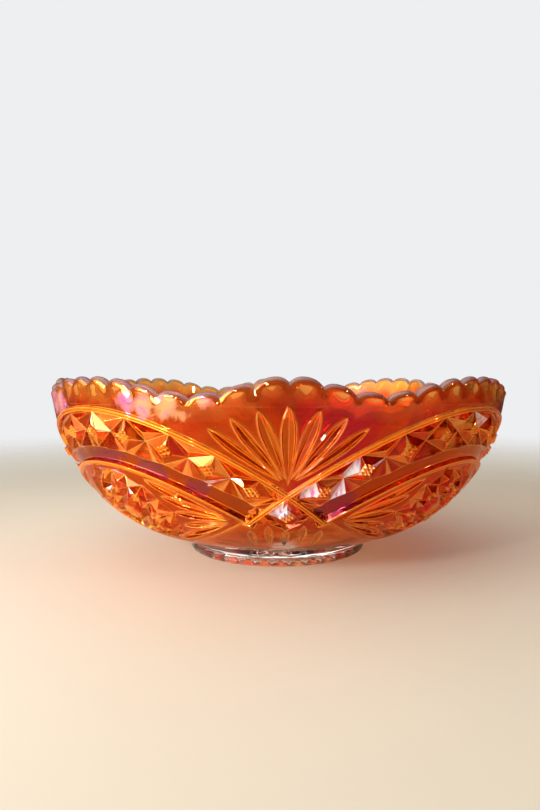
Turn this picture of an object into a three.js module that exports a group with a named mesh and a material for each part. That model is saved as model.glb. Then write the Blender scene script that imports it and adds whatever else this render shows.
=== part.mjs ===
// Carnival glass bowl: a pressed bowl on a low clear foot, with a waved and scalloped rim and four arched
// panels round its side. Millimetres, +Z up. The origin is the centre of the foot's resting ring, and -Y is
// the front, where one of the four fans stands.
//
// The bowl is one glass casting. It is divided where its surface changes: the scalloped rim that the mould's
// cap ring forms, the iridised body that the side moulds form, and the clear foot that the base plate forms.
// The three meet on flat level faces.
import * as THREE from 'three';

// Driving dimensions
const RIM_RADIUS = 116.3;
const RIM_HEIGHT = 90;
const RIM_LEAN = 3.5;          // degrees that the wall leans out of upright at the rim
const FOOT_RADIUS = 46.7;
const FOOT_HEIGHT = 8;
const FLOOR_HEIGHT = 12.5;     // inside floor at the centre
const WALL_LOW = 5.6;          // wall thickness beside the foot
const WALL_RIM = 4.4;          // wall thickness at the rim
const RIM_JOINT_HEIGHT = 79;   // level face between the body and the rim

// Rim: a long wave of four narrow and four wide crests, cut into small scallops
const SCALLOPS = 56;
const SCALLOP_DEPTH = 2.4;
const RIM_MEAN_HEIGHT = 87.5;
const WAVE = [[4, -1.0], [8, 2.9], [12, 1.0]];   // [crests in a turn, height]

// Pressed pattern, repeated four times. Distances run up the outside of the wall from the foot.
const PANELS = 4;
const HALF_TURN = 180;
const HALF_PANEL = HALF_TURN / PANELS;   // degrees from a fan's centre line to the top of an arch
const ARCH_TOP = 105;
const ARCH_RISE = 35.2;
const RIB_WIDTH = 3.1;
const RIB_PROUD = 0.9;
const DIAMOND_BAND = 14.8;         // height of the row of diamonds under the rib
const DIAMOND_PITCH = 10;          // degrees from one diamond to the next
const DIAMOND_PROUD = 1.0;         // the point of a diamond, and the depth of the groove beside it
const CHANNEL_DEPTH = 2.0;         // the plain band sunk between the diamonds and the oval
const CHANNEL_SLOPE = 1.6;
const OVAL_HALF_ANGLE = 35;        // degrees from the oval's middle to its pointed end
const OVAL_END = 53;
const OVAL_TOP = 80.6;
const OVAL_BOTTOM = 25;
const OVAL_PROUD = 0.8;
const OVAL_GAP = 1;                // half of the oval's height where it has run out to a point

const BODY_COLUMNS = 144;
const RIM_COLUMNS = 4 * SCALLOPS;
const INNER_ROWS = 7;

// Outer profile, from the foot to the rim: radius in x, height in y
const lean = THREE.MathUtils.degToRad(RIM_LEAN);
const UPPER_REACH = 47.1;      // how far the rim's direction holds down the wall
const outerProfile = new THREE.CubicBezierCurve(
  new THREE.Vector2(FOOT_RADIUS, FOOT_HEIGHT),
  new THREE.Vector2(85.7, 15.4),
  new THREE.Vector2(RIM_RADIUS - UPPER_REACH * Math.sin(lean), RIM_HEIGHT - UPPER_REACH * Math.cos(lean)),
  new THREE.Vector2(RIM_RADIUS, RIM_HEIGHT),
);
const PROFILE_LENGTH = outerProfile.getLength();
const wallThickness = (along) => THREE.MathUtils.lerp(WALL_LOW, WALL_RIM, along / PROFILE_LENGTH);

// A point of the wall: `along` runs up the outside from the foot, and `proud` stands off it
function wallPoint(along, proud) {
  const u = along / PROFILE_LENGTH;
  const point = outerProfile.getPointAt(u);
  const tangent = outerProfile.getTangentAt(u);
  return [point.x + proud * tangent.y, point.y - proud * tangent.x];
}

// The distance up the outside at which the wall reaches a height
function alongAtHeight(height) {
  let low = 0;
  let high = PROFILE_LENGTH;
  for (let step = 0; step < 40; step += 1) {
    const middle = (low + high) / 2;
    if (outerProfile.getPointAt(middle / PROFILE_LENGTH).y < height) low = middle;
    else high = middle;
  }
  return low;
}
const JOINT_ALONG = alongAtHeight(RIM_JOINT_HEIGHT);

// A closed surface of rows and columns: `place(row, angle)` gives the radius and height of each point, with
// the angle in degrees from the front (-Y) towards +X
function turned(rows, columns, place) {
  const blank = Array.from({ length: rows }, (_, row) => new THREE.Vector2(1, row));
  const geometry = new THREE.LatheGeometry(blank, columns);
  const position = geometry.attributes.position;
  for (let column = 0; column <= columns; column += 1) {
    const degrees = ((column % columns) * 360) / columns;
    const angle = THREE.MathUtils.degToRad(degrees);
    for (let row = 0; row < rows; row += 1) {
      const [radius, height] = place(row, degrees);
      position.setXYZ(column * rows + row, radius * Math.sin(angle), -radius * Math.cos(angle), height);
    }
  }
  geometry.computeVertexNormals();
  return geometry;
}

// Edges of the pattern at an angle, as distances up the wall
function patternEdges(degrees) {
  const fromArchTop = Math.abs((degrees % (2 * HALF_PANEL)) - HALF_PANEL);
  const archTop = ARCH_TOP - ARCH_RISE * (fromArchTop / HALF_PANEL) ** 2;
  const spread = (fromArchTop / OVAL_HALF_ANGLE) ** 2;
  const ovalTop = Math.max(OVAL_TOP - (OVAL_TOP - OVAL_END) * spread, OVAL_END + OVAL_GAP);
  const ovalBottom = Math.min(OVAL_BOTTOM + (OVAL_END - OVAL_BOTTOM) * spread, OVAL_END - OVAL_GAP);
  const ribFoot = archTop - RIB_WIDTH;
  const channelTop = Math.max(ribFoot - DIAMOND_BAND, ovalTop + 2 * CHANNEL_SLOPE);
  return { archTop, ribFoot, channelTop, ovalTop, ovalBottom };
}

// Height of the ridge along the row of diamonds: proud at each diamond, as deep in the groove between two
function diamondRidge(degrees) {
  const fromGroove = (degrees / DIAMOND_PITCH) % 1;
  const towardsGroove = Math.abs(2 * fromGroove - 1);   // 0 at a diamond's point, 1 in a groove
  return THREE.MathUtils.lerp(DIAMOND_PROUD, -DIAMOND_PROUD, towardsGroove);
}

// Rows of the body's outside at an angle, from the foot up, as [distance up the wall, how far proud]
function outerRows(degrees) {
  const edge = patternEdges(degrees);
  const channelWidth = edge.channelTop - edge.ovalTop;
  const sunk = -CHANNEL_DEPTH * Math.min(1, channelWidth / (4 * CHANNEL_SLOPE));
  const bulge = OVAL_PROUD * Math.min(1, (edge.ovalTop - edge.ovalBottom) / (OVAL_TOP - OVAL_END));
  const acrossOval = (share) => THREE.MathUtils.lerp(edge.ovalBottom, edge.ovalTop, share);
  return [
    [0, 0],
    [edge.ovalBottom / 3, 0],
    [(edge.ovalBottom * 2) / 3, 0],
    [edge.ovalBottom, 0],
    [acrossOval(0.25), bulge * 0.75],
    [acrossOval(0.5), bulge],
    [acrossOval(0.75), bulge * 0.75],
    [edge.ovalTop, 0],
    [edge.ovalTop + channelWidth * 0.25, sunk],
    [edge.channelTop - channelWidth * 0.25, sunk],
    [edge.channelTop, 0],
    [(edge.channelTop + edge.ribFoot) / 2, diamondRidge(degrees)],
    [edge.ribFoot, 0],
    [edge.archTop - RIB_WIDTH / 2, RIB_PROUD],
    [edge.archTop, 0],
    [JOINT_ALONG, 0],
  ];
}

// Height of the rim's edge at an angle: the long wave less the scallops
function rimTop(degrees) {
  const angle = THREE.MathUtils.degToRad(degrees);
  const wave = WAVE.reduce((sum, [crests, height]) => sum + height * Math.cos(crests * angle), 0);
  const fromNotch = (degrees * SCALLOPS) / 360;
  const fromTip = fromNotch - Math.floor(fromNotch) - 0.5;
  return RIM_MEAN_HEIGHT + wave - SCALLOP_DEPTH * (2 * fromTip) ** 2;
}

// Body: joint face on the foot, patterned outside, joint face under the rim, smooth inside, floor
function bodyGeometry() {
  const outerCount = outerRows(0).length;
  const rows = 1 + outerCount + INNER_ROWS + 1;
  return turned(rows, BODY_COLUMNS, (row, degrees) => {
    if (row === 0) return [0, FOOT_HEIGHT];
    if (row <= outerCount) {
      const [along, proud] = outerRows(degrees)[row - 1];
      return wallPoint(along, proud);
    }
    if (row === rows - 1) return [0, FLOOR_HEIGHT];
    const down = (row - 1 - outerCount) / (INNER_ROWS - 1);
    if (down === 0) return [wallPoint(JOINT_ALONG, 0)[0] - WALL_RIM, RIM_JOINT_HEIGHT];
    const along = JOINT_ALONG * (1 - down);
    return wallPoint(along, -wallThickness(along));
  });
}

// Rim: sides that carry the wall on from the joint face, closed by a round lip that follows the wave and the
// scallops
function rimGeometry() {
  const lipSteps = 6;
  const lipRadius = WALL_RIM / 2;
  const rows = lipSteps + 6;
  const [jointRadius] = wallPoint(JOINT_ALONG, 0);
  return turned(rows, RIM_COLUMNS, (row, degrees) => {
    if (row === 0 || row === rows - 1) return [jointRadius, RIM_JOINT_HEIGHT];
    if (row === rows - 2) return [jointRadius - WALL_RIM, RIM_JOINT_HEIGHT];
    const lipBase = rimTop(degrees) - lipRadius;
    const halfway = (RIM_JOINT_HEIGHT + lipBase) / 2;
    const [halfwayRadius] = wallPoint(alongAtHeight(halfway), 0);
    if (row === 1) return [halfwayRadius, halfway];
    if (row === rows - 3) return [halfwayRadius - WALL_RIM, halfway];
    const around = (Math.PI * (row - 2)) / lipSteps;
    const middle = wallPoint(alongAtHeight(lipBase), 0)[0] - lipRadius;
    return [middle + lipRadius * Math.cos(around), lipBase + lipRadius * Math.sin(around)];
  });
}

// Foot: a low collar with a rounded bead, recessed underneath so that it rests on a ring. The rays of a star
// are cut into the recess, deepest at its edge.
const REST_INNER = 39.5;
const REST_OUTER = 44.5;
const RECESS_RADIUS = 37.5;
const RECESS_DEPTH = 3.2;
const STAR_RAYS = 32;
const STAR_DEPTH = 1.2;
function footGeometry() {
  const profile = [
    [0, RECESS_DEPTH],
    [RECESS_RADIUS, RECESS_DEPTH],
    [REST_INNER, 0],
    [REST_OUTER, 0],
    [FOOT_RADIUS - 0.6, 0.8],
    [FOOT_RADIUS - 0.2, 2.6],
    [FOOT_RADIUS - 0.7, 4.2],
    [FOOT_RADIUS, 6.0],
    [FOOT_RADIUS, FOOT_HEIGHT],
    [0, FOOT_HEIGHT],
  ];
  const starRow = 1;
  return turned(profile.length, 2 * STAR_RAYS, (row, degrees) => {
    const [radius, height] = profile[row];
    const halfRay = Math.round((degrees * STAR_RAYS) / HALF_TURN);
    const cut = row === starRow && halfRay % 2 === 1 ? STAR_DEPTH : 0;
    return [radius, height + cut];
  });
}

const marigold = { color: 0xd8540f, roughness: 0.08, metalness: 0.35, transparent: true, opacity: 0.85 };
const clear = { color: 0xe9e2d3, roughness: 0.04, metalness: 0, transparent: true, opacity: 0.4 };

const bowl = new THREE.Group();
function add(name, geometry, finish) {
  const mesh = new THREE.Mesh(geometry, new THREE.MeshStandardMaterial(finish));
  mesh.name = name;
  bowl.add(mesh);
}
add('bowl_body', bodyGeometry(), marigold);
add('scalloped_rim', rimGeometry(), marigold);
add('star_foot', footGeometry(), clear);

export default bowl;
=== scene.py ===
# Carnival glass bowl: the visual model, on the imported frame. Metres, +Z up, the front of the bowl towards -Y.
import math

import bpy
import numpy as np
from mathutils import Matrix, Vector
from mathutils.geometry import delaunay_2d_cdt


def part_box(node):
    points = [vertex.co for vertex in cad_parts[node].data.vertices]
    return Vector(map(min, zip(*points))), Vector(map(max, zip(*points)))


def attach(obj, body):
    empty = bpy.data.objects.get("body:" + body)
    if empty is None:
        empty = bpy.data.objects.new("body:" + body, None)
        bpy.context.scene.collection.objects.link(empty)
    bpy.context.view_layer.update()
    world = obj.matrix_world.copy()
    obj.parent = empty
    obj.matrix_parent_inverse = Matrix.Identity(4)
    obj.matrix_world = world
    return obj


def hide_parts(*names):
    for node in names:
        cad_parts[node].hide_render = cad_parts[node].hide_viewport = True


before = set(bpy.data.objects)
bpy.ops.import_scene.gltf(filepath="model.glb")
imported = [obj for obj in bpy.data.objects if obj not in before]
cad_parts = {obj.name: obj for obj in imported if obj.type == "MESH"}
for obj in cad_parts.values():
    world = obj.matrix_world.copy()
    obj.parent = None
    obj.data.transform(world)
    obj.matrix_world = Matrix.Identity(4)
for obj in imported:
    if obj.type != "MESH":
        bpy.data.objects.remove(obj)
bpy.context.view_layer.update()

MM = 0.001

# ---------------- sizes, in millimetres
_, foot_high = (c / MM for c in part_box("star_foot"))
rim_low, _ = (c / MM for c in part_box("scalloped_rim"))
FOOT_RADIUS = foot_high.x
FOOT_HEIGHT = foot_high.z
JOINT_HEIGHT = rim_low.z

RIM_RADIUS = 116.3
RIM_HEIGHT = 90.0
RIM_LEAN = math.radians(3.5)  # how far the wall leans out at the rim
UPPER_REACH = 47.1  # length of the profile's handle at the rim
LOWER_HANDLE = (85.7, 15.4)  # the profile's handle above the foot: radius and z
FLOOR_HEIGHT = 12.5  # of the inside, on the axis
WALL_LOW = 5.6
WALL_RIM = 4.4
LEVEL_LENGTH = 25.0  # over which the inside turns level with the outside

SCALLOPS = 56
SCALLOP_DEPTH = 2.4
SCALLOP_SWELL = 0.45  # how far a scallop stands proud of its notches
RIM_MEAN_HEIGHT = 87.5
WAVE = ((4, -1.0), (8, 2.9), (12, 1.0))  # the rim's rise and fall: (waves all round, height)

REPEATS = 4
HALF = 45.0  # degrees from a fan's centre line to the top of an arch
PATTERN_START, PATTERN_LENGTH = 6.0, 112.0  # up the wall


# ---------------- the wall's outer profile
def bezier(ends, t):
    """Points at the parameters t of the cubic Bezier curve with these ends and handles."""
    first, second, third, last = (np.array(e) for e in ends)
    s = 1 - t
    return s**3 * first + 3 * s**2 * t * second + 3 * s * t**2 * third + t**3 * last


UPPER_HANDLE = (RIM_RADIUS - UPPER_REACH * math.sin(RIM_LEAN), RIM_HEIGHT - UPPER_REACH * math.cos(RIM_LEAN))
profile = bezier(
    ((FOOT_RADIUS, FOOT_HEIGHT), LOWER_HANDLE, UPPER_HANDLE, (RIM_RADIUS, RIM_HEIGHT)),
    np.linspace(0.0, 1.0, 2001)[:, None],
)
profile_along = np.concatenate([[0.0], np.cumsum(np.linalg.norm(np.diff(profile, axis=0), axis=1))])
profile_tangent = np.gradient(profile, axis=0)
profile_tangent /= np.linalg.norm(profile_tangent, axis=1)[:, None]
PROFILE_LENGTH = float(profile_along[-1])
JOINT_ALONG = float(np.interp(JOINT_HEIGHT, profile[:, 1], profile_along))


def wall(along, height):
    """Radius and z of points `along` mm up the outside and `height` mm proud of it."""
    r, z = (np.interp(along, profile_along, profile[:, i]) for i in range(2))
    outwards, upwards = (np.interp(along, profile_along, profile_tangent[:, i]) for i in range(2))
    return r + height * upwards, z - height * outwards


def radius_at(along):
    return float(np.interp(along, profile_along, profile[:, 0]))


def degree_at(along):
    """Millimetres that a degree takes round the wall."""
    return radius_at(along) * math.pi / 180


def radius_at_height(z):
    return np.interp(z, profile[:, 1], profile[:, 0])


def up(s):
    """Distance up the wall of a share s of the patterned height."""
    return PATTERN_START + PATTERN_LENGTH * s


def ring_at(angles, r, z):
    """Points in metres at these degrees round the axis, radii and heights."""
    a = np.radians(angles)
    r, z = np.broadcast_to(r, a.shape), np.broadcast_to(z, a.shape)
    return np.stack([r * np.sin(a), -r * np.cos(a), z], axis=-1) * MM


# ---------------- the pressed pattern
# Heights are millimetres proud of the plain wall. The pattern is drawn for half a repeat, from a fan's centre
# line at 0 degrees to the top of an arch at 45, as creases in the unrolled wall. The rest are mirror images.
FLAT = 1.75  # millimetres that a degree takes in the unrolled drawing
TOUCHING = 1e-6  # degrees


class Drawing:
    """Points with heights, joined by creases, in the unrolled half repeat."""

    def __init__(self):
        self.at, self.height, self.crease, self.seen = [], [], [], {}

    def point(self, phi, along, height):
        key = (round(phi, 4), round(along, 3))
        if key not in self.seen:
            self.seen[key] = len(self.at)
            self.at.append((phi * FLAT, along))
            self.height.append(height)
        return self.seen[key]

    def line(self, points):
        """A crease through points (phi, along, height), clipped to the half repeat."""
        for a, b in zip(points, points[1:]):
            cut = clip(a, b)
            if cut:
                i, j = self.point(*cut[0]), self.point(*cut[1])
                if i != j:
                    self.crease.append((i, j))


def clip(a, b):
    """The part of a segment between 0 and 45 degrees, or None."""
    a, b = np.array(a, float), np.array(b, float)
    for limit, side in ((0.0, 1.0), (HALF, -1.0)):
        inside_a, inside_b = side * (a[0] - limit), side * (b[0] - limit)
        if inside_a < -TOUCHING and inside_b < -TOUCHING:
            return None
        if inside_a < -TOUCHING:
            a = a + (b - a) * (inside_a / (inside_a - inside_b))
            a[0] = limit
        elif inside_b < -TOUCHING:
            b = b + (a - b) * (inside_b / (inside_b - inside_a))
            b[0] = limit
    return tuple(a), tuple(b)


def mix(a, b, share):
    return tuple(x + (y - x) * share for x, y in zip(a, b))


def centre_of(points, height):
    """The middle of some points, at this height."""
    return tuple(sum(p[i] for p in points) / len(points) for i in range(2)) + (height,)


def other_side(p):
    """The mirror image past the fan's centre line."""
    return (-p[0],) + tuple(p[1:])


def mirror_end(p):
    """The mirror image past the top of the arch."""
    return (2 * HALF - p[0],) + tuple(p[1:])


ARCH_TOP, ARCH_RISE = 0.884, 0.314  # shares of the patterned height


def arch(phi):
    """Upper edge of the rib over the panel centred on 45 degrees."""
    return ARCH_TOP - ARCH_RISE * ((phi - HALF) / HALF) ** 2


def arch_point(phi, depth, height=0.0):
    """A point `depth` mm inside the arch, square to it."""
    along = up(arch(phi))
    across = degree_at(along)
    rise = -2 * ARCH_RISE * (phi - HALF) / HALF**2 * PATTERN_LENGTH
    size = math.hypot(across, rise)
    return (phi + depth * rise / size / across, along - depth * across / size, height)


draw = Drawing()
JOINT_STEPS = 28

for k in range(JOINT_STEPS + 1):
    phi = HALF * k / JOINT_STEPS
    draw.point(phi, JOINT_ALONG, 0.0)
    draw.point(phi, 0.0, 0.0)

# Rib: two fine ridges with a groove between them, over each arch and on down to the panels' pointed ends. Its
# section is given as (depth, height)
RIB = ((0.0, 0.0), (0.5, 0.95), (0.8, 0.95), (1.3, 0.0), (1.8, 0.85), (2.1, 0.85), (2.6, -1.3))
RIB_WIDTH, RIB_FOOT = RIB[-1]
RIB_END = -10.0  # degrees
NO_RIB = -9.0  # stands for a height beside the rib
SEARCH_BACK, SEARCH_ON = 9, 2  # degrees within which the nearest point of the arch is looked for

for depth, height in RIB:
    own = [arch_point(a, depth, height) for a in np.linspace(RIB_END, HALF, 56).tolist()]
    draw.line(own)
    draw.line([other_side(p) for p in own if p[0] < 1.0])


def rib_height(depth):
    depths, heights = zip(*RIB)
    return float(np.interp(depth, depths, heights, left=NO_RIB, right=NO_RIB))


def depth_inside(phi, along):
    """How far inside the arch a point is, square to it."""
    across = degree_at(along)
    nearest = math.inf
    for guess in np.linspace(phi - SEARCH_BACK, phi + SEARCH_ON, 45).tolist():
        p = arch_point(guess, 0.0)
        nearest = min(nearest, math.hypot((p[0] - phi) * across, p[1] - along))
    return nearest if along < up(arch(phi)) else -nearest


# Row of diamonds under the rib
GROOVE = -2.1
DIAMOND_TOPS = (5.0, 14.0, 23.6, 34.4, 45.0)  # degrees
ROW_EDGE, ROW_RIDGE = -0.75, 0.1
ROW_APEX = 0.75
ROW_DEPTH = 0.16  # from the rib's upper edge to the row's lower side, as a share of the height
FIRST_SIDE = 2.9  # degrees of the row's first corner, on the other rib
CLUSTER = 0.42  # share of a diamond that its cluster of points takes
CLUSTER_LOW, CLUSTER_HIGH = 0.1, 1.4


def row_foot(phi):
    """Lower side of the row of diamonds."""
    return up(arch(phi) - ROW_DEPTH)


def below(phi_top):
    """The point on the row's lower side square below a diamond's top."""
    low, high = RIB_WIDTH, 20.0
    for _ in range(40):
        middle = (low + high) / 2
        p = arch_point(phi_top, middle)
        if p[1] > row_foot(p[0]):
            low = middle
        else:
            high = middle
    return (p[0], p[1], ROW_EDGE)


def rhombus(top, right, bottom, left, share=CLUSTER, high=CLUSTER_HIGH, cells=3):
    """A four-sided facet pyramid cut off and crossed into a cluster of small points."""
    corners = (top, right, bottom, left)
    centre = centre_of(corners, CLUSTER_LOW)
    inner = [mix(centre[:2], corner[:2], share) for corner in corners]
    for i in range(4):
        draw.line([corners[i], corners[(i + 1) % 4]])
        draw.line([corners[i], inner[i] + (CLUSTER_LOW,)])

    def at(u, v, height=CLUSTER_LOW):
        near, far = mix(inner[0], inner[1], u / cells), mix(inner[3], inner[2], u / cells)
        return mix(near, far, v / cells) + (height,)

    for i in range(cells + 1):
        draw.line([at(i, j) for j in range(cells + 1)])
        draw.line([at(j, i) for j in range(cells + 1)])
    for i in range(cells):
        for j in range(cells):
            apex = at(i + 0.5, j + 0.5, high)
            for di, dj in ((0, 0), (1, 0), (1, 1), (0, 1)):
                draw.line([at(i + di, j + dj), apex])


def pyramid(corners, apex_height):
    """A facet pyramid over a polygon of (phi, along, height) corners."""
    apex = centre_of(corners, apex_height)
    for i, corner in enumerate(corners):
        draw.line([corner, corners[(i + 1) % len(corners)]])
        draw.line([corner, apex])


row_start = ROW_DEPTH / (4 * ARCH_RISE / HALF)  # degrees where the row's lower side meets the other rib
tops = [arch_point(a, RIB_WIDTH, RIB_FOOT) for a in DIAMOND_TOPS]
feet = [below(a) for a in DIAMOND_TOPS]
between = [centre_of((tops[i], tops[i + 1], feet[i], feet[i + 1]), GROOVE) for i in range(len(tops) - 1)]
sides = [(FIRST_SIDE, up(arch(-FIRST_SIDE)), GROOVE)] + between + [mirror_end(between[-1])]
for i, (top, foot) in enumerate(zip(tops, feet)):
    rhombus(top, sides[i + 1], foot, sides[i])
last = (row_start, row_foot(row_start), ROW_EDGE)
for i, foot in enumerate(feet):
    if i:
        pyramid((tops[i - 1], tops[i], sides[i]), ROW_APEX)
    ridge_phi = (last[0] + foot[0]) / 2
    draw.line([sides[i], (ridge_phi, row_foot(ridge_phi), ROW_RIDGE)])
    draw.line([last, sides[i]])
    curve = []
    for share in np.linspace(0, 1, 9).tolist():
        phi = last[0] + (foot[0] - last[0]) * share
        curve.append((phi, row_foot(phi), ROW_EDGE + (ROW_RIDGE - ROW_EDGE) * (1 - abs(2 * share - 1))))
    draw.line(curve)
    last = foot

# Plain band sunk between the row of diamonds and the oval panel
BAND_FLOOR, BAND_EDGE = -2.1, -1.75
BAND_LINES = ((0.10, BAND_EDGE), (0.32, BAND_FLOOR), (0.68, BAND_FLOOR), (0.90, BAND_EDGE))  # (share, height)
BAND_POINT = 3.6  # degrees by which its lowest line starts further on
OVAL_TOP, OVAL_END, OVAL_FOOT = 0.666, 0.42, 0.17
OVAL_REACH = 35.0  # degrees from the oval's middle to its end


def oval_top(phi):
    return up(OVAL_TOP - (OVAL_TOP - OVAL_END) * ((HALF - phi) / OVAL_REACH) ** 2)


def oval_foot(phi):
    return up(OVAL_FOOT + (OVAL_END - OVAL_FOOT) * ((HALF - phi) / OVAL_REACH) ** 2)


def band_foot(phi):
    """Lower side of the band: the oval, or the other rib beyond the oval's end."""
    return oval_top(phi) if phi > HALF - OVAL_REACH else up(arch(-phi))


def on_band(phi, along, margin=0.0):
    """True on the sunk band, at least `margin` mm inside its two sides."""
    return phi > row_start and band_foot(phi) + margin < along < row_foot(phi) - margin


for share, height in BAND_LINES:
    line = []
    for phi in np.linspace(row_start + BAND_POINT * share, HALF, 36).tolist():
        line.append((phi, row_foot(phi) + (band_foot(phi) - row_foot(phi)) * share, height))
    draw.line(line)

# Oval panel: a plain border, flutes that fan out from the pointed end, and a round star of facets
BORDER = ((0.0, 0.55), (1.3, 0.45), (2.0, 0.0))  # (depth, height)
LOWER_WIDTH, LOWER_HEIGHT = 0.7, 0.6  # the lower border's, as shares of the upper one's
for depth, height in BORDER:
    angles = np.linspace(HALF - OVAL_REACH, HALF, 30).tolist()[1 if depth else 0:]
    draw.line([(a, oval_top(a) - depth, height) for a in angles])
    draw.line([(a, oval_foot(a) + depth * LOWER_WIDTH, height * LOWER_HEIGHT) for a in angles])

STAR_CENTRE = (HALF, up(0.415))
STAR_RADIUS = 22.5
STAR_POINTS = 8
STAR_NOTCH, STAR_INNER, STAR_HUB = 0.66, 0.36, 0.19  # shares of the radius
INNER_APEX, OUTER_APEX = 0.2, 0.5
HUB_HEIGHT, HUB_MIDDLE = 0.9, 0.1


def star_at(share, degrees, height=GROOVE):
    """A point at a share of the star's radius; 0 degrees is straight up the wall."""
    a = math.radians(degrees)
    along = STAR_CENTRE[1] + STAR_RADIUS * share * math.cos(a)
    return (STAR_CENTRE[0] - STAR_RADIUS * share * math.sin(a) / degree_at(along), along, height)


step = 360 / STAR_POINTS
for k in range(STAR_POINTS):
    tip, next_tip = (star_at(1.0, a) for a in (k * step, k * step + step))
    last_notch, notch = (star_at(STAR_NOTCH, a) for a in (k * step - step / 2, k * step + step / 2))
    inner, next_inner = (star_at(STAR_INNER, a) for a in (k * step, k * step + step))
    hub, next_hub = (star_at(STAR_HUB, a, HUB_HEIGHT) for a in (k * step, k * step + step))
    middle = star_at(1.0, k * step + step / 2)
    rhombus(tip, notch, inner, last_notch, share=0.5, high=1.2, cells=2)
    pyramid((notch, next_inner, inner), INNER_APEX)
    pyramid((tip, middle, notch), OUTER_APEX)
    pyramid((middle, next_tip, notch), OUTER_APEX)
    draw.line([inner, next_inner])
    draw.line([inner, hub, next_hub])
    draw.line([hub, STAR_CENTRE + (HUB_MIDDLE,)])

# Flutes
OUTLINE, CREST, FLANK = 1.28, 1.0, 0.8  # the lines along a flute, in half widths from its middle
FLUTE_LINES = (-OUTLINE, -CREST, -FLANK, 0.0, FLANK, CREST, OUTLINE)
FLUTE_EDGE, FLUTE_RIDGE = 0.55, 0.32  # width outside the crests, where the outline is, and the crests' height
FLUTE_END = 0.35  # share of the edge's height that stays at the two ends
FLUTE_BLUNT = 0.75  # under 1, the tip is blunter
FLUTE_FULL = 1.4  # over 1, the full depth is reached before the widest place
FLUTE_SLOPE = 0.55  # how fast the depth is lost towards the edge
FLUTE_STEPS = 12


def flute(base, tip, widest, widest_at, depth, ridge=FLUTE_RIDGE):
    """A pointed flute: its outline is flush with the wall and its middle line is `depth` deep."""
    across = degree_at((base[1] + tip[1]) / 2)
    ax, ay = (tip[0] - base[0]) * across, tip[1] - base[1]
    size = math.hypot(ax, ay)
    nx, ny = -ay / size, ax / size
    rows = {side: [] for side in FLUTE_LINES}
    for k in range(FLUTE_STEPS + 1):
        t = k / FLUTE_STEPS
        if t <= widest_at:
            half = widest * math.sin(math.pi / 2 * t / widest_at)
        else:
            half = widest * math.cos(math.pi / 2 * (t - widest_at) / (1 - widest_at)) ** FLUTE_BLUNT
        fullness = min(1.0, half / widest * FLUTE_FULL)
        for side, row in rows.items():
            if abs(side) == OUTLINE:
                off, height = (half + FLUTE_EDGE) * math.copysign(1, side), 0.0
            elif k in (0, FLUTE_STEPS):
                off, height = 0.0, ridge * FLUTE_END
            elif abs(side) == CREST:
                off, height = half * side, ridge * min(1.0, fullness + FLUTE_END)
            else:
                off, height = half * side, -depth * fullness * (1 - abs(side) * FLUTE_SLOPE)
            x = base[0] * across + ax * t + nx * off
            row.append((x / across, base[1] + ay * t + ny * off, height))
    for row in rows.values():
        draw.line(row)


# In the oval's pointed end. Places are (degrees, share of the height), as for the fan and the short flutes
OVAL_BASE = (12.2, up(0.418))
OVAL_TIPS = ((33.0, 0.604), (30.2, 0.530), (28.6, 0.447), (28.4, 0.362), (30.6, 0.285), (36.0, 0.222))
for phi, s in OVAL_TIPS:
    tip = (phi, up(s))
    flute(mix(OVAL_BASE, tip, 0.16), tip, widest=2.15, widest_at=0.66, depth=1.8)

# Fan of seven petals over the place where the ribs cross
FAN_BASE = (0.0, up(0.600))
FAN_TIPS = ((0.0, 0.892), (5.7, 0.876), (10.9, 0.852), (15.4, 0.815))
for i, (phi, s) in enumerate(FAN_TIPS):
    for side in (1, -1) if i else (1,):
        tip = (side * phi, up(s))
        start = mix(FAN_BASE, tip, 0.12 if i else 0.02)
        flute(start, tip, widest=2.7 - 0.25 * i, widest_at=0.66, depth=1.6)

# Kite under the crossing, and the short flutes between two ovals
kite_top = (0.0, arch_point(0.0, RIB_WIDTH)[1] - 1.3, GROOVE)
kite_right = (5.3, up(0.449), GROOVE)
kite_foot = (0.0, up(0.376), GROOVE)
rhombus(kite_top, kite_right, kite_foot, other_side(kite_right))
SHORT_FLUTES = ((0.0, 0.20, 0.365), (4.6, 0.20, 0.395), (9.4, 0.20, 0.36))
for phi, low, high in SHORT_FLUTES:
    flute((phi, up(low)), (phi, up(high)), widest=1.7, widest_at=0.7, depth=0.7, ridge=0.0)

# ---------------- from the drawing to a mesh
GRID = 3.2  # spacing of the points between the creases
CLEARANCE = 1.3  # how near they come to the creases' points
RIB_MARGIN, ROW_MARGIN = 0.6, 0.8
NEAR_FAN = 10.5  # degrees from the fan within which the other rib is near too
STAR_DEGREE = 1.6  # millimetres that a degree takes at the star


def in_row(phi, along):
    """True inside the rib and the row of diamonds, which take no further points."""
    top, other_top = up(arch(phi)) + RIB_MARGIN, up(arch(-phi)) + RIB_MARGIN
    own = top > along > row_foot(phi) - ROW_MARGIN
    near = phi < NEAR_FAN and other_top > along > up(arch(-phi)) - 1.6 * RIB_WIDTH
    return (own and phi > 0 and along > up(arch(-phi)) - 1) or near


def between_creases():
    """Places (phi, along) for further points on the plain parts of the wall."""
    taken = np.array(draw.at)
    rows = int(JOINT_ALONG / GRID)
    count = int(HALF * FLAT / GRID)
    for row in range(1, rows):
        along = JOINT_ALONG * row / rows
        shift = 0.5 * (row % 2)
        for k in range(count + 1):
            phi = min(max(HALF * (k - shift) / count, 0.0), HALF)
            gap = np.min(np.hypot(taken[:, 0] - phi * FLAT, taken[:, 1] - along))
            from_star = math.hypot((phi - STAR_CENTRE[0]) * STAR_DEGREE, along - STAR_CENTRE[1])
            if not in_row(phi, along) and gap >= CLEARANCE and from_star >= STAR_RADIUS + 0.5:
                yield phi, along


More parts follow.
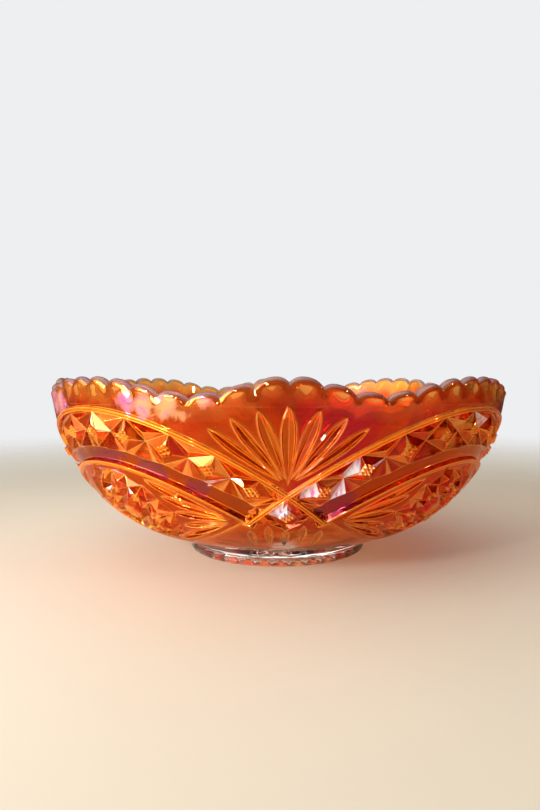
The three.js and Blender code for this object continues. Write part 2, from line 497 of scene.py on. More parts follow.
def crossing_height(phi, along):
    """Height where lines of two ribs meet: the higher rib's. None away from the ribs."""
    highest = max(rib_height(depth_inside(side, along)) for side in (phi, -phi))
    return highest if highest > NO_RIB else None


def average_height(point, near):
    """Height from the points round about, the nearer ones counting for more."""
    near = [n for n in near if n[2] is not None]
    weights = [1 / (1e-3 + math.hypot((n[0] - point[0]) * FLAT, n[1] - point[1])) for n in near]
    return sum(n[2] * w for n, w in zip(near, weights)) / sum(weights) if near else 0.0


def half_repeat():
    """Vertices (phi, along, height) and triangles of half a repeat."""
    fill = list(between_creases())
    flat = [Vector(p) for p in draw.at] + [Vector((phi * FLAT, along)) for phi, along in fill]
    heights = draw.height + [BAND_FLOOR if on_band(phi, along) else 0.0 for phi, along in fill]
    verts, _, faces, origins, _, _ = delaunay_2d_cdt(flat, draw.crease, [], 0, 1e-4, True)
    points = []
    for v, origin in zip(verts, origins):
        phi, along = v.x / FLAT, v.y
        points.append([phi, along, heights[origin[0]] if origin else crossing_height(phi, along)])
    links = {}
    for face in faces:
        for i in face:
            links.setdefault(i, set()).update(j for j in face if j != i)
    for i, point in enumerate(points):
        if point[2] is None:
            point[2] = average_height(point, [points[j] for j in links[i]])
    return np.array(points, float), [tuple(f) for f in faces if len(f) == 3]


def from_fan(phi):
    """Degrees from the nearest fan's centre line."""
    return np.abs((phi + HALF) % (2 * HALF) - HALF)


# Where the film ends above the foot, in shares of the patterned height: it ends higher up under each fan
COAT_BORDER, COAT_LIFT, COAT_FADE = 0.14, 0.12, 0.035
COAT_LIFT_WIDTH = 4.5  # degrees


def coat_at(phi, along):
    """1 where the film covers the glass, 0 where it is clear."""
    border = COAT_BORDER + COAT_LIFT * np.exp(-((from_fan(phi) / COAT_LIFT_WIDTH) ** 2))
    s = (along - PATTERN_START) / PATTERN_LENGTH
    return np.clip((s - border) / COAT_FADE + 0.5, 0, 1)


# Where the film turns pearly or violet: (degrees from the fan, share of the height, radius in mm). The pearly
# patches, on the wall and on the facets, are partly the film's play of colours and partly a painted reflection.
PEARL_AND_REFLECTION_PATCHES = ((-24.0, 0.885, 7), (-28.5, 0.885, 7), (-33.0, 0.90, 5.5), (-20.0, 0.865, 4), (-16.0, 0.91, 4))
PEARL_AND_GLINT_FACETS = (
    (12.8, 0.667, 4), (19.8, 0.677, 2.6), (4.8, 0.573, 4), (11.5, 0.575, 2.6), (-1.5, 0.482, 4),
    (-16.5, 0.600, 2.2), (40.8, 0.812, 3), (-48.8, 0.608, 2.4), (-40.8, 0.540, 2.6),
)
VIOLET_PATCHES = ((8.0, 0.46, 7), (12.0, 0.51, 8), (-42.0, 0.695, 12), (-31.0, 0.65, 11), (-20.0, 0.56, 7))


def patches(where, phi, along):
    """1 in the middle of a patch, 0 away from it. Every second repeat has them the other way round."""
    phi, along = np.broadcast_arrays(np.asarray(phi, float), np.asarray(along, float))
    out = np.zeros(phi.shape)
    scale = np.interp(along, profile_along, profile[:, 0]) * math.pi / 180
    for turn in range(REPEATS):
        local = (phi - 2 * HALF * turn + 180) % 360 - 180
        if turn % 2:
            local = -local
        for degrees, s, reach in where:
            distance = ((local - degrees) * scale) ** 2 + (along - up(s)) ** 2
            out = np.maximum(out, np.exp(-distance / reach**2))
    return out


PAINTED_LIGHT_RATES = np.array([31.0, 23.0, 41.0])  # how fast a facet's painted light and shade change with the way it faces


def glitter(a, b, c):
    """Painted highlight and painted shade on a cut facet: how bright it is, from 0 to 1, by the way it faces. A
    flat facet has one brightness.
    """
    normal = np.cross(b - a, c - a)
    normal /= max(np.linalg.norm(normal), 1e-12)
    return 0.5 + 0.5 * math.sin(normal @ PAINTED_LIGHT_RATES)


def is_cut(phi, along):
    """True on the row of diamonds and on the ovals' stars."""
    in_star = math.hypot((phi - STAR_CENTRE[0]) * FLAT, along - STAR_CENTRE[1]) < STAR_RADIUS
    under_rib = arch_point(phi, RIB_WIDTH)[1]
    return in_star or (phi > row_start and row_foot(phi) < along < under_rib)


# What the materials read from the vertices and from the faces
VALUES = ("coat", "relief", "rise", "band", "edges", "pearl", "violet", "petal")
FACE_VALUES = ("facet", "glitter")


class Shell:
    """Collects the vertices and faces of one closed piece, with a value for each of the names above."""

    def __init__(self):
        self.at, self.faces, self.material = [], [], []
        self.values = {name: [] for name in VALUES}
        self.face_values = {name: [] for name in FACE_VALUES}

    def add(self, points, **values):
        first = len(self.at)
        self.at.extend(map(tuple, np.asarray(points)))
        for name in VALUES:
            self.values[name].extend(np.broadcast_to(values.get(name, 0.0), len(points)).tolist())
        return list(range(first, first + len(points)))

    def face(self, corners, material=0, **values):
        self.faces.append(tuple(corners))
        self.material.append(material)
        for name in FACE_VALUES:
            self.face_values[name].append(values.get(name, 0.0))

    def strip(self, lower, upper, material=0):
        """Quads between two closed rings of the same count, seen from outside with `lower` below."""
        n = len(lower)
        for k in range(n):
            m = (k + 1) % n
            self.face((lower[k], lower[m], upper[m], upper[k]), material)

    def cap(self, ring, centre, material=0):
        n = len(ring)
        for k in range(n):
            self.face((ring[k], ring[(k + 1) % n], centre), material)

    def build(self, name, materials, sharp):
        """The piece as an object, with edges kept sharp over an angle in degrees."""
        mesh = bpy.data.meshes.new(name)
        mesh.from_pydata(self.at, [], self.faces)
        for domain, values in (("POINT", self.values), ("FACE", self.face_values)):
            for key, value in values.items():
                mesh.attributes.new(key, "FLOAT", domain).data.foreach_set("value", value)
        for material in materials:
            mesh.materials.append(material)
        mesh.polygons.foreach_set("material_index", self.material)
        mesh.polygons.foreach_set("use_smooth", [True] * len(self.faces))
        mesh.set_sharp_from_angle(angle=math.radians(sharp))
        mesh.validate()
        mesh.update()
        piece = bpy.data.objects.new(name, mesh)
        bpy.context.scene.collection.objects.link(piece)
        return piece


SKIN, JOINT = 0, 1  # a piece's material slots: its glass, and where it meets the next piece


def rim_top(phi):
    """Height of the rim's edge."""
    a = np.radians(phi)
    wave = sum(h * np.cos(n * a) for n, h in WAVE)
    share = phi * SCALLOPS / 360
    from_tip = np.abs(share - np.floor(share) - 0.5) * 2
    return RIM_MEAN_HEIGHT + wave - SCALLOP_DEPTH * (0.35 * from_tip**2 + 0.65 * from_tip**3)


RIM_GLOW = 14.0  # how far below the edge the film starts to pale to gold


def near_rim(phi, z):
    """0 low on the wall, 1 at the rim's edge."""
    return np.clip(1 - (rim_top(phi) - z) / RIM_GLOW, 0, 1)


# ---------------- wall
COLUMNS = 2 * REPEATS * JOINT_STEPS
INSIDE_ROWS = 40
FLOOR_RINGS = (0.85, 0.7, 0.5, 0.3, 0.12)  # shares of the floor's radius
EDGE_WIDTH = 1.5  # beside the joints, where creases aren't rounded
BAND_MARGIN = 0.3
PETAL_DEPTH = 0.2  # how deep a flute is before it counts as one
WALL_SHARP, RIM_SHARP, FOOT_SHARP = 16, 40, 24  # degrees
body_angles = np.arange(COLUMNS) * 360 / COLUMNS


def inner_wall(along):
    """Radius and z of the inside, square to the outside low down and level with it at the rim's joint."""
    thickness = WALL_LOW + (WALL_RIM - WALL_LOW) * along / PROFILE_LENGTH
    square = wall(along, -thickness)
    outer_r, outer_z = wall(along, 0.0)
    near = min(max(1 - (JOINT_ALONG - along) / LEVEL_LENGTH, 0.0), 1.0)
    near = near * near * (3 - 2 * near)
    return square[0] + (outer_r - WALL_RIM - square[0]) * near, square[1] + (outer_z - square[1]) * near


def all_repeats(points):
    """The half repeat's points turned and mirrored all round, and which of them each half has."""
    index, rows, halves = {}, [], {}
    for turn in range(REPEATS):
        for side in (1, -1):
            halves[turn, side] = []
            for phi, along, height in points:
                p = (side * phi + 2 * HALF * turn) % 360
                key = (round(p, 3) % 360, round(along, 3))
                if key not in index:
                    index[key] = len(rows)
                    rows.append((p, along, height))
                halves[turn, side].append(index[key])
    return np.array(rows), halves


def build_body(materials):
    shell = Shell()
    points, faces = half_repeat()
    rows, halves = all_repeats(points)
    phi, along, relief = rows.T
    at = ring_at(phi, *wall(along, relief))
    places = list(zip(from_fan(phi), along))
    band = np.array([on_band(*p, BAND_MARGIN) for p in places])
    cut = np.array([is_cut(*p) for p in places])
    ids = shell.add(
        at,
        coat=coat_at(phi, along),
        relief=relief,
        rise=near_rim(phi, wall(along, 0.0)[1]),
        band=band,
        edges=np.clip(np.minimum(along, JOINT_ALONG - along) / EDGE_WIDTH, 0, 1),
        pearl=patches(PEARL_AND_REFLECTION_PATCHES, phi, along),
        violet=patches(VIOLET_PATCHES, phi, along),
        petal=(relief < -PETAL_DEPTH) & ~cut & ~band,
    )
    middles = np.array([points[list(f), :2].mean(axis=0) for f in faces])
    face_cut = [is_cut(*m) for m in middles]
    # Per face: the painted highlight and shade of the cut facets, and the pearly facets, partly a painted
    # reflection
    for (turn, side), local in halves.items():
        pearly = patches(PEARL_AND_GLINT_FACETS, side * middles[:, 0] + 2 * HALF * turn, middles[:, 1])
        for face, facet, is_facet in zip(faces, pearly, face_cut):
            corners = [local[i] for i in face]
            if len(set(corners)) == 3:
                brightness = glitter(*at[corners]) if is_facet else 0.5
                shell.face(corners[::side], SKIN, facet=float(facet), glitter=brightness)

    def edge(height):
        return sorted((i for i in ids if abs(along[i] - height) < 1e-4), key=lambda i: phi[i])

    top, low = edge(JOINT_ALONG), edge(0.0)
    assert len(top) == COLUMNS and len(low) == COLUMNS, (len(top), len(low))
    last = top
    for k in range(INSIDE_ROWS + 1):
        r, z = inner_wall(JOINT_ALONG * (1 - k / INSIDE_ROWS))
        ring = shell.add(ring_at(body_angles, r, z), coat=1.0, rise=near_rim(body_angles, z))
        shell.strip(last, ring, SKIN if k else JOINT)
        last = ring
    floor_r, floor_z = inner_wall(0.0)
    for share in FLOOR_RINGS:
        z = FLOOR_HEIGHT + (floor_z - FLOOR_HEIGHT) * share**2
        ring = shell.add(ring_at(body_angles, floor_r * share, z), coat=1.0)
        shell.strip(last, ring)
        last = ring
    centre = shell.add([(0, 0, FLOOR_HEIGHT * MM)], coat=1.0)[0]
    shell.cap(last, centre)
    under = shell.add([(0, 0, FOOT_HEIGHT * MM)])[0]
    shell.cap(low[::-1], under, JOINT)
    return shell.build("bowl_wall", materials, WALL_SHARP)


# ---------------- rim
RIM_SIDES, LIP_STEPS = 6, 12  # rows up each side, and round the lip


def build_rim(materials):
    shell = Shell()
    angles = np.arange(3 * COLUMNS) * 360 / (3 * COLUMNS)
    lip = WALL_RIM / 2
    base = rim_top(angles) - lip
    swell = SCALLOP_SWELL * np.cos(2 * np.pi * (angles * SCALLOPS / 360 - 0.5))
    rows = []
    for k in range(RIM_SIDES):  # outside, upwards
        t = k / RIM_SIDES
        z = JOINT_HEIGHT + (base - JOINT_HEIGHT) * t
        rows.append((radius_at_height(z) + swell * t**2, z, 0.0))
    for k in range(LIP_STEPS + 1):
        a = math.pi * k / LIP_STEPS
        r = radius_at_height(base) - lip + lip * math.cos(a) + swell * (1 - k / LIP_STEPS)
        rows.append((r, base + lip * math.sin(a), math.sin(a)))
    for k in range(1, RIM_SIDES + 1):  # inside, downwards
        z = JOINT_HEIGHT + (base - JOINT_HEIGHT) * (1 - k / RIM_SIDES)
        rows.append((radius_at_height(z) - WALL_RIM, z, 0.0))
    rings = []
    for r, z, lipped in rows:
        outside = r > radius_at_height(z) - 1
        pearl = patches(PEARL_AND_REFLECTION_PATCHES, angles, np.interp(z, profile[:, 1], profile_along)) * outside
        rings.append(shell.add(
            ring_at(angles, r, z), coat=1.0, relief=lipped, rise=near_rim(angles, z), pearl=pearl
        ))
    for a, b in zip(rings, rings[1:]):
        shell.strip(a, b)
    shell.strip(rings[-1], rings[0], JOINT)
    return shell.build("rim_glass", materials, RIM_SHARP)


# ---------------- foot
STAR_RAYS = 32
RAY_DEPTH = 1.5
UNDER_RADIUS, UNDER_HEIGHT = 39.0, 4.7  # of the hollow under the foot
# (share of the radius, z, share of the rays' depth)
UNDER = ((0.10, 4.6, 0.0), (0.35, 4.2, 0.35), (0.65, 3.7, 0.8), (0.88, 3.3, 1.0), (0.965, 3.0, 0.8))
UNDER_EDGE, UNDER_EDGE_HEIGHT, EDGE_TEETH = 38.4, 1.2, 0.9
FOOT_OUTSIDE = (  # (radius, z) from the ring it stands on up to the wall
    (39.8, 0.35), (40.4, 0.0), (43.9, 0.0), (45.2, 0.25), (46.0, 0.9), (46.35, 1.9), (46.2, 2.9), (45.7, 3.6),
    (45.6, 4.0), (45.9, 4.7), (46.4, 5.5), (46.65, 6.4), (46.7, 7.2), (FOOT_RADIUS, FOOT_HEIGHT),
)


def build_foot(materials):
    shell = Shell()
    count = STAR_RAYS * 8
    angles = np.arange(count) * 360 / count
    groove = 1 - np.abs((angles * STAR_RAYS / 360) % 1 - 0.5) * 2  # 0 on a ray, 1 between two
    rings = []
    for share, z, depth in UNDER:
        rings.append(shell.add(ring_at(angles, UNDER_RADIUS * share, z + RAY_DEPTH * groove * depth)))
    rings.append(shell.add(ring_at(angles, UNDER_EDGE + EDGE_TEETH * groove, UNDER_EDGE_HEIGHT)))
    for r, z in FOOT_OUTSIDE:
        rings.append(shell.add(ring_at(angles, r, z)))
    centre = shell.add([(0, 0, UNDER_HEIGHT * MM)])[0]
    shell.cap(rings[0][::-1], centre)
    for a, b in zip(rings, rings[1:]):
        shell.strip(a, b)
    over = shell.add([(0, 0, FOOT_HEIGHT * MM)])[0]
    shell.cap(rings[-1], over, JOINT)
    return shell.build("foot_glass", materials, FOOT_SHARP)


# ---------------- materials
class Tree:
    """A node tree, with short calls for the nodes used here."""

    def __init__(self, tree):
        self.tree = tree

    def node(self, kind):
        return self.tree.nodes.new("ShaderNode" + kind)

    def join(self, a, b):
        self.tree.links.new(a, b)

    def feed(self, value, socket):
        """Links an output to a socket, or writes a number or a colour into it."""
        if isinstance(value, bpy.types.NodeSocket):
            self.join(value, socket)
        else:
            socket.default_value = value + (1.0,) if isinstance(value, tuple) else value

    def span(self, value, a, b, low=0.0, high=1.0):
        """A value from a to b spread over low to high, and held there beyond."""
        node = self.node("MapRange")
        node.clamp = True
        self.join(value, node.inputs["Value"])
        for key, v in (("From Min", a), ("From Max", b), ("To Min", low), ("To Max", high)):
            node.inputs[key].default_value = v
        return node.outputs["Result"]

    def math(self, operation, a, b):
        node = self.node("Math")
        node.operation = operation
        self.feed(a, node.inputs[0])
        self.feed(b, node.inputs[1])
        return node.outputs[0]


class Nodes(Tree):
    """A material's node tree."""

    def __init__(self, name):
        self.material = bpy.data.materials.new(name)
        self.material.use_nodes = True
        super().__init__(self.material.node_tree)
        self.shader = self.tree.nodes["Principled BSDF"]
        self.where = self.node("TexCoord").outputs["Object"]

    def value(self, name):
        node = self.node("Attribute")
        node.attribute_name = name
        return node.outputs["Fac"]

    def noise(self, scale, detail=2.0, rough=0.5, twist=0.0, where=None):
        node = self.node("TexNoise")
        for key, v in (("Scale", scale), ("Detail", detail), ("Roughness", rough), ("Distortion", twist)):
            node.inputs[key].default_value = v
        self.join(where or self.where, node.inputs["Vector"])
        return node.outputs["Fac"]

    def cloud(self, start, full, low=0.0, high=1.0, **noise):
        """An uneven mask: `low` where the noise is under `start`, `high` where it is over `full`."""
        return self.span(self.noise(**noise), start, full, low, high)

    def blend(self, share, a, b):
        node = self.node("Mix")
        node.data_type = "RGBA"
        node.blend_type = "MIX"
        for value, k in ((share, 0), (a, 6), (b, 7)):
            self.feed(value, node.inputs[k])
        return node.outputs[2]

    def strongest(self, *parts):
        """The highest of several masks, each times its share."""
        shared = [self.math("MULTIPLY", mask, share) for mask, share in parts]
        most = shared[0]
        for part in shared[1:]:
            most = self.math("MAXIMUM", most, part)
        return most

    def soft_edges(self, radius):
        """The normal with creases rounded off, and how close a point is to a crease."""
        bevel = self.node("Bevel")
        bevel.samples = 4
        bevel.inputs["Radius"].default_value = radius
        plain = self.node("NewGeometry").outputs["Normal"]
        mixed = self.node("Mix")
        mixed.data_type = "VECTOR"
        for value, k in ((self.value("edges"), 0), (plain, 4), (bevel.outputs["Normal"], 5)):
            self.join(value, mixed.inputs[k])
        dot = self.node("VectorMath")
        dot.operation = "DOT_PRODUCT"
        self.join(plain, dot.inputs[0])
        self.join(mixed.outputs[1], dot.inputs[1])
        return mixed.outputs[1], self.span(dot.outputs["Value"], 0.995, 0.95)

    def wavy(self, scale, distance, normal=None):
        """The slight unevenness of pressed glass: broad swells with finer ripples on them."""
        for size, depth in ((scale * 0.55, distance * 3.0), (scale * 2, distance * 0.4)):
            bump = self.node("Bump")
            bump.inputs["Strength"].default_value = 1.0
            bump.inputs["Distance"].default_value = depth
            self.join(self.noise(size, 1.0), bump.inputs["Height"])
            if normal:
                self.join(normal, bump.inputs["Normal"])
            normal = bump.outputs["Normal"]
        self.join(normal, self.shader.inputs["Normal"])

    def let_lamps_through(self, tint, share):
        """Lets a share of the lamps' light straight through the glass, so that its shadow isn't solid."""
        clear = self.node("BsdfTransparent")
        self.feed(tint, clear.inputs["Color"])
        path = self.node("LightPath")
        mixed = self.node("MixShader")
        self.join(self.math("MULTIPLY", path.outputs["Is Shadow Ray"], share), mixed.inputs[0])
        self.join(self.shader.outputs[0], mixed.inputs[1])
        self.join(clear.outputs[0], mixed.inputs[2])
        self.join(mixed.outputs[0], self.tree.nodes["Material Output"].inputs["Surface"])


def joint_material():
    """The face where two zones of the one casting meet: no surface at all, so light passes straight on."""
    n = Nodes("inside_the_glass")
    n.shader.inputs["Alpha"].default_value = 0.0
    tint = n.blend(n.noise(40.0), (0.9, 0.9, 0.9), (0.95, 0.95, 0.95))
    n.join(tint, n.shader.inputs["Base Color"])
    return n.material


# The film's colours
AMBER, RED = (0.86, 0.105, 0.003), (0.68, 0.016, 0.001)
GOLD, DEEP = (0.98, 0.50, 0.06), (0.48, 0.010, 0.002)
BRIGHT = (1.0, 0.54, 0.10)  # painted highlight on some facets, and the paler gold towards the rim
ROSE, VIOLET = (0.60, 0.035, 0.002), (0.50, 0.010, 0.05)  # in the sunk band
DARK_VIOLET = (0.20, 0.012, 0.16)
EDGE, ORANGE = (1.0, 0.42, 0.03), (0.93, 0.28, 0.010)  # on creases and on raised parts; on the creases partly the film and partly a painted highlight
PETAL = (0.97, 0.29, 0.012)
PAINTED_SHADE = (0.44, 0.07, 0.006)  # painted shade in the bottom of the cuts
# The pearly patches' and streaks' colours: partly the film's play of colours, partly a painted reflection
PINK, PEARL = (1.0, 0.50, 0.22), (0.80, 0.22, 0.52)
PALE_BLUE, WHITE = (0.55, 0.82, 0.92), (0.95, 0.95, 0.95)
LILAC, PALE_LILAC = (0.62, 0.50, 0.60), (0.74, 0.60, 0.56)  # along the lip
SHINE = (1.0, 0.38, 0.15)  # what it mirrors straight on
CLEAR = (0.965, 0.955, 0.93)  # the glass below it

# Its clouds: the noise, and from where to where it counts
RED_CLOUDS = dict(scale=17.0, detail=4.0, rough=0.6, twist=1.2, start=0.36, full=0.54)
GOLD_CLOUDS = dict(scale=34.0, start=0.56, full=0.75, high=0.8)
DEEP_CLOUDS = dict(scale=30.0, detail=4.0, rough=0.62, twist=2.0, start=0.49, full=0.60, high=0.9)
VIOLET_CLOUDS = dict(scale=26.0, twist=1.0, start=0.42, full=0.6)
PEARLY_CLOUDS = dict(scale=70.0, detail=3.0, rough=0.6, twist=1.0, start=0.42, full=0.56)
FACET_CLOUDS = dict(scale=160.0, start=0.25, full=0.5, low=0.6)
LIP_CLOUDS = dict(scale=60.0, start=0.4, full=0.6)
THICKNESS = dict(scale=14.0, twist=0.8, start=0.3, full=0.7, low=235.0, high=300.0)  # in nanometres
ROUGHNESS = dict(scale=70.0, detail=3.0, start=0.3, full=0.7)
LUSTRE, HAZE = 0.15, 0.06  # how metallic and how milky it is

# How far it hides the glass on creases, raised parts, pearly patches, facets with a painted highlight, pearly
# facets, and the lip
CREASE_HIDES, RAISED_HIDES, PEARL_HIDES = 0.55, 0.35, 0.30
BRIGHT_HIDES, FACET_HIDES, LIP_HIDES = 0.50, 0.72, 0.22

BEVEL = 0.0005
STREAK_TURN = 50  # degrees
STREAK_SCALE = (700.0, 500.0, 160.0)


def film_colour(n):
    """Amber and red with deep and gold clouds, paling to a bright gold towards the rim."""
    base = n.blend(n.cloud(**RED_CLOUDS), AMBER, RED)
    base = n.blend(n.cloud(**GOLD_CLOUDS), base, GOLD)
    base = n.blend(n.cloud(**DEEP_CLOUDS), base, DEEP)
    return n.blend(n.span(n.value("rise"), 0.2, 1.0, high=0.7), base, BRIGHT)


def patch_mask(n, name):
    """A patch with an uneven, cloudy outline."""
    uneven = n.math("MULTIPLY", n.math("SUBTRACT", n.noise(60.0, 5.0, 0.62, 1.6), 0.5), 2.0)
    return n.span(n.math("ADD", n.value(name), uneven), 0.45, 0.80)


def pearly_film(n, base):
    """The mask of the pearly patches, and the film's colour with pink and pearly clouds in them: partly the
    film's play of colours, partly a painted reflection.
    """
    mask = patch_mask(n, "pearl")
    base = n.blend(n.span(mask, 0.0, 0.4), base, PINK)
    return mask, n.blend(n.cloud(**PEARLY_CLOUDS), base, n.blend(mask, base, PEARL))


def streaks(n):
    """Fine slanting pearly, pale blue and white streaks: partly the film's play of colours, partly a painted
    reflection on the facets.
    """
    stretched = n.node("Mapping")
    stretched.inputs["Rotation"].default_value = (0.0, math.radians(STREAK_TURN), 0.0)
    stretched.inputs["Scale"].default_value = STREAK_SCALE
    n.join(n.where, stretched.inputs["Vector"])
    grain = n.noise(1.0, where=stretched.outputs["Vector"])
    cool = n.blend(n.span(grain, 0.36, 0.50), PEARL, PALE_BLUE)
    return n.blend(n.span(grain, 0.52, 0.64), cool, WHITE)


def glass(n, smoothest, roughest):
    n.shader.inputs["Transmission Weight"].default_value = 1.0
    n.shader.inputs["IOR"].default_value = 1.5
    n.join(n.cloud(**ROUGHNESS, low=smoothest, high=roughest), n.shader.inputs["Roughness"])


def glaze(n, where):
    """A clear skin over the film, strong only on the creases or the lip, which mirrors the lamps white."""
    n.join(n.span(where, 0.0, 1.0, low=0.02), n.shader.inputs["Coat Weight"])
    n.shader.inputs["Coat Roughness"].default_value = 0.02
    n.shader.inputs["Coat IOR"].default_value = 1.6


def film(n, hides):
    """The metallic film: its lustre, its haze and its play of colours stop where the coat stops."""
    s = n.shader.inputs
    s["Thin Film IOR"].default_value = 1.85
    n.feed(SHINE, s["Specular Tint"])
    coat = n.value("coat")
    n.join(n.math("MULTIPLY", n.cloud(**THICKNESS), coat), s["Thin Film Thickness"])
    n.join(n.math("MULTIPLY", coat, LUSTRE), s["Metallic"])
    haze = n.math("MAXIMUM", n.math("MULTIPLY", coat, HAZE), n.math("MULTIPLY", coat, hides))
    n.join(n.math("SUBTRACT", 1.0, haze), s["Transmission Weight"])


def filmed_glass(n, colour, glazed, hides, normal=None):
    """Glass under the film, in this colour: the wall's and the rim's."""
    n.join(colour, n.shader.inputs["Base Color"])
    glass(n, smoothest=0.005, roughest=0.03)
    glaze(n, glazed)
    film(n, hides)
    n.wavy(scale=55.0, distance=0.0006, normal=normal)
    n.let_lamps_through(tint=(0.90, 0.58, 0.28), share=0.65)
    return n.material


def body_material():
    n = Nodes("iridised_glass")
    normal, crease = n.soft_edges(BEVEL)
    raised = n.span(n.value("relief"), 0.05, 0.5)
    # Painted shade: darker in the bottom of the cuts
    sunk = n.span(n.value("relief"), -0.5, -1.3, high=0.5)
    # Painted shade and painted highlights on the cut facets, darker or brighter by the way each faces
    painted_facet_shade = n.span(n.value("glitter"), 0.28, 0.08, high=0.75)
    bright = n.span(n.value("glitter"), 0.74, 0.96, high=0.6)
    petal = n.math("MULTIPLY", n.value("petal"), 0.65)
    violet = n.math("MULTIPLY", n.span(patch_mask(n, "violet"), 0.0, 0.6, high=0.85), n.value("band"))
    # Pearly facets with streaks: partly the film's play of colours, partly a painted reflection
    facet = n.math("MULTIPLY", n.span(n.value("facet"), 0.35, 0.6), n.cloud(**FACET_CLOUDS))
    band_colour = n.blend(n.cloud(**VIOLET_CLOUDS), ROSE, VIOLET)
    base = film_colour(n)
    # The creases' brighter orange is partly the film and partly a painted highlight
    for mask, colour in (
        (n.value("band"), band_colour), (raised, ORANGE), (sunk, PAINTED_SHADE), (crease, EDGE), (painted_facet_shade, DEEP),
        (bright, BRIGHT), (petal, PETAL), (violet, DARK_VIOLET),
    ):
        base = n.blend(mask, base, colour)
    pearl, base = pearly_film(n, base)
    base = n.blend(facet, base, streaks(n))
    hides = n.strongest(
        (crease, CREASE_HIDES), (raised, RAISED_HIDES), (pearl, PEARL_HIDES), (bright, BRIGHT_HIDES),
        (facet, FACET_HIDES),
    )
    return filmed_glass(n, n.blend(n.value("coat"), CLEAR, base), crease, hides, normal)


def rim_material():
    n = Nodes("rim_glass")
    lip = n.span(n.value("relief"), 0.15, 0.7)
    # Pearly patches: partly the film's play of colours, partly a painted reflection
    pearl, base = pearly_film(n, film_colour(n))
    colour = n.blend(lip, base, n.blend(n.cloud(**LIP_CLOUDS), LILAC, PALE_LILAC))
    return filmed_glass(n, colour, lip, n.strongest((pearl, PEARL_HIDES), (lip, LIP_HIDES)))


def foot_material():
    n = Nodes("clear_glass")
    tint = n.blend(n.noise(45.0), (0.97, 0.96, 0.93), (0.93, 0.91, 0.86))
    n.join(tint, n.shader.inputs["Base Color"])
    glass(n, smoothest=0.01, roughest=0.04)
    n.wavy(scale=80.0, distance=0.0004)
    n.let_lamps_through(tint=(0.97, 0.95, 0.90), share=0.8)
    return n.material


joint_skin = joint_material()
body = build_body([body_material(), joint_skin])
rim = build_rim([rim_material(), joint_skin])
foot = build_foot([foot_material(), joint_skin])
for piece, node, slot in (
    (body, "bowl_body", "iridised_glass"),
    (rim, "scalloped_rim", "rim_glass"),
    (foot, "star_foot", "clear_glass"),
):
    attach(piece, "root")
    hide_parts(node)


# ---------------- floor, light and camera. Metres
HALF_FLOOR = 0.9
FADE_NEAR, FADE_FAR = 0.26, 0.85  # from the bowl: where the floor starts to fade, and where it is gone


def floor_material():
    """Pale warm floor that fades into the bright studio with distance."""
    n = Nodes("pale_floor")
    tint = n.blend(n.noise(6.0, 3.0), (0.47, 0.41, 0.31), (0.51, 0.45, 0.345))
    n.join(tint, n.shader.inputs["Base Color"])
    n.shader.inputs["Roughness"].default_value = 0.6
    n.shader.inputs["Specular IOR Level"].default_value = 0.3
    distance = n.node("VectorMath")
    distance.operation = "LENGTH"
    n.join(n.where, distance.inputs[0])
    fade = n.span(distance.outputs["Value"], FADE_NEAR, FADE_FAR, low=1.0, high=0.0)
    fade.node.interpolation_type = "SMOOTHSTEP"
    n.join(fade, n.shader.inputs["Alpha"])
    return n.material


floor_mesh = bpy.data.meshes.new("floor")
corners = [(x * HALF_FLOOR, y * HALF_FLOOR, 0) for x, y in ((-1, -1), (1, -1), (1, 1), (-1, 1))]
floor_mesh.from_pydata(corners, [], [(0, 1, 2, 3)])
floor_mesh.materials.append(floor_material())
floor = bpy.data.objects.new("floor", floor_mesh)
bpy.context.scene.collection.objects.link(floor)

# The backdrop is plain. The light that the studio gives is stronger from the window's side and from behind,
# and the glass mirrors only a little of it
BACKDROP, DIM_SIDE, WINDOW_SIDE, MIRRORED = 0.88, 0.02, 1.65, 0.07
BRIGHTEST = (-0.86, 0.42, 0.28)  # the way to the studio's brightest side
world = bpy.data.worlds.new("studio")
bpy.context.scene.world = world
world.use_nodes = True
sky = Tree(world.node_tree)
background = sky.tree.nodes["Background"]
background.inputs["Color"].default_value = (0.97, 0.98, 1.0, 1.0)
path = sky.node("LightPath")
towards = sky.node("VectorMath")
towards.operation = "DOT_PRODUCT"
sky.join(sky.node("TexCoord").outputs["Generated"], towards.inputs[0])
towards.inputs[1].default_value = BRIGHTEST
sided = sky.span(towards.outputs["Value"], -0.8, 0.8, DIM_SIDE, WINDOW_SIDE)
mirrored = sky.math("MULTIPLY", path.outputs["Is Glossy Ray"], path.outputs["Is Reflection Ray"])
given = sky.math("MULTIPLY", sided, sky.span(mirrored, 0.0, 1.0, 1.0, MIRRORED))
seen = sky.math("MULTIPLY", path.outputs["Is Camera Ray"], BACKDROP)
unseen = sky.math("MULTIPLY", sky.span(path.outputs["Is Camera Ray"], 0.0, 1.0, 1.0, 0.0), given)
sky.join(sky.math("ADD", seen, unseen), background.inputs["Strength"])
bpy.context.scene.view_settings.view_transform = "Standard"


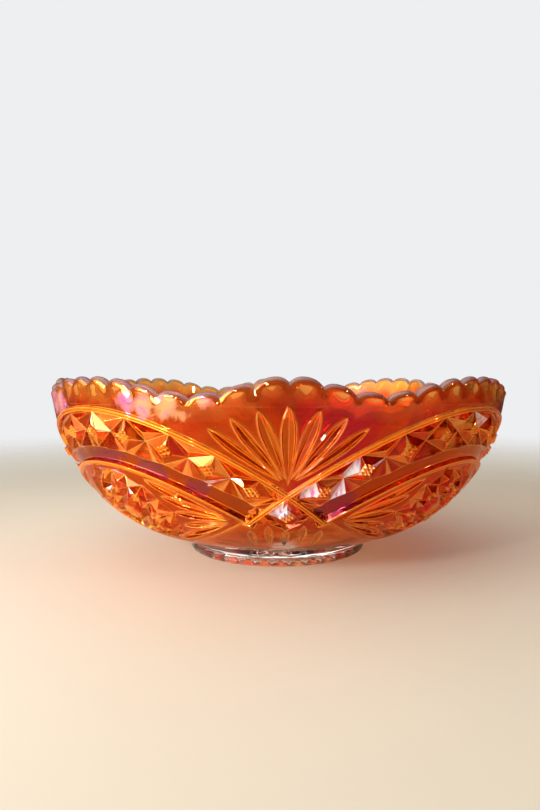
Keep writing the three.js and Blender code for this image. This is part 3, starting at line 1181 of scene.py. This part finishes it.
def softbox(name, at, aim, width, height, power, colour=(1.0, 0.98, 0.97), spread=180):
    """An oval lamp that the camera doesn't see. Its spread is in degrees."""
    data = bpy.data.lights.new(name, "AREA")
    data.shape = "ELLIPSE"
    data.size, data.size_y = width, height
    data.energy = power
    data.color = colour
    data.spread = math.radians(spread)
    light = bpy.data.objects.new(name, data)
    light.location = at
    light.rotation_euler = (Vector(aim) - Vector(at)).to_track_quat("-Z", "Y").to_euler()
    light.visible_camera = False
    bpy.context.scene.collection.objects.link(light)


WINDOW_AT, WINDOW_AIM = (-0.74, -0.36, 0.32), (0, 0, 0.20)
WINDOW = ((0.85, 2.3), (0.62, 1.8), (0.42, 1.2))  # (width, power): together, a window with soft edges
LOW_WINDOW_AT, LOW_WINDOW_AIM = (-0.41, -0.33, 0.12), (0, -0.02, 0.07)
OVERHEAD_AT, OVERHEAD_SIZE = (0.2, 0.2, 1.5), 1.8
GLINTS = (  # small lamps that show as glints: (at, width, power)
    ((-0.42, -0.62, 0.34), 0.07, 0.30),
    ((-0.66, -0.30, 0.14), 0.07, 0.24),
    ((-0.28, -0.68, 0.10), 0.05, 0.14),
    ((0.62, -0.40, 0.30), 0.05, 0.12),
)
for k, (width, power) in enumerate(WINDOW):
    softbox("window_%d" % k, WINDOW_AT, WINDOW_AIM, width, width * 0.85, power, spread=125)
softbox(
    "low_window", LOW_WINDOW_AT, LOW_WINDOW_AIM, width=0.30, height=0.20, power=0.35,
    colour=(1.0, 0.97, 0.98), spread=80,
)
for k, (at, width, power) in enumerate(GLINTS):
    softbox("glint_%d" % k, at, (0, 0, 0.05), width, width * 1.5, power, spread=60)
softbox("overhead", OVERHEAD_AT, (0, 0, 0), OVERHEAD_SIZE, OVERHEAD_SIZE, power=1.3, colour=(1.0, 1.0, 1.0))

VIEW_TURN = math.radians(2.18)  # how far the fan stands to the right of the camera's side
VIEW_DISTANCE, VIEW_HEIGHT = 0.3509, 0.0884
VIEW_DOWN, VIEW_PAN = 2.12, 1.52  # degrees that the camera looks down, and to the right of +Y
camera_data = bpy.data.cameras.new("camera")
camera_data.lens = 28.89
camera_data.sensor_width = 36.0
camera = bpy.data.objects.new("camera", camera_data)
camera.location = (-VIEW_DISTANCE * math.sin(VIEW_TURN), -VIEW_DISTANCE * math.cos(VIEW_TURN), VIEW_HEIGHT)
camera.rotation_euler = (math.radians(90 - VIEW_DOWN), 0, -math.radians(VIEW_PAN))
bpy.context.scene.collection.objects.link(camera)
bpy.context.scene.camera = camera
